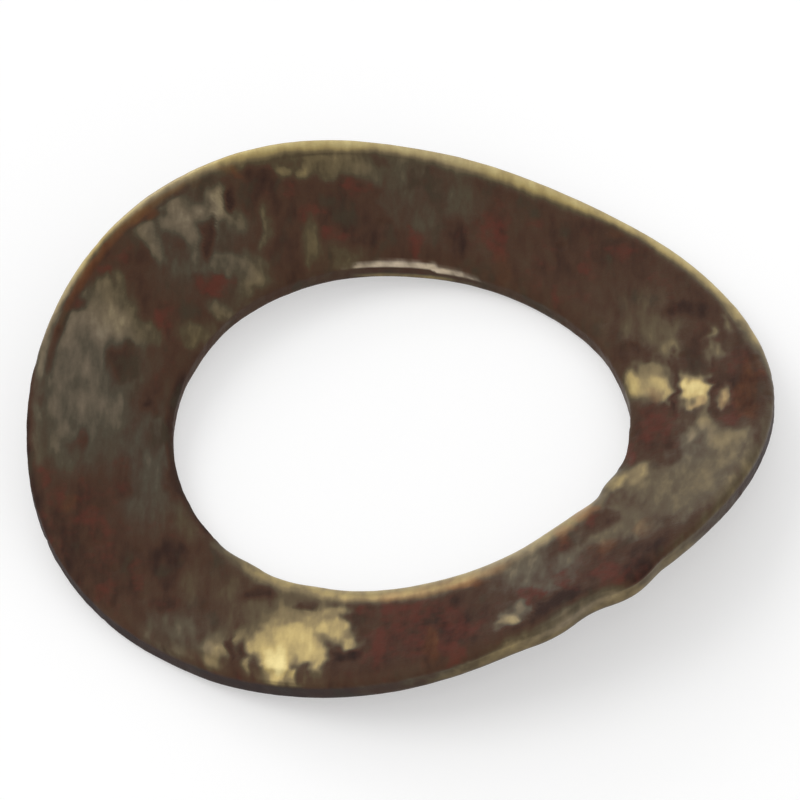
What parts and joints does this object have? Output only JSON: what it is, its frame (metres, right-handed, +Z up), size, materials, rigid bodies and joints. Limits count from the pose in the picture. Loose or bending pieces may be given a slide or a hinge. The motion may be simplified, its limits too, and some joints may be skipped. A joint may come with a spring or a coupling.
{
  "type": "curved spring washer",
  "caption": "Curved spring washer of rusted sheet steel: a round ring, bent one way so that its two sides stand up, with a round hole and softly rolled upper edges.",
  "frame": {"origin": "middle of the hole, on the plane that the washer's underside rests on", "axes": "+Z up along the axis of the hole, out of the hollow of the bend; X along the bend axis, where the washer touches what it lies on; the sides that stand up are at +Y and -Y"},
  "size_m": [0.0146, 0.0146, 0.0021],
  "materials": {
    "rusted_steel": "worn spring steel, brown rust in patches"
  },
  "bodies": {
    "root": {"curved_washer": "rusted_steel"}
  },
  "joints": []
}
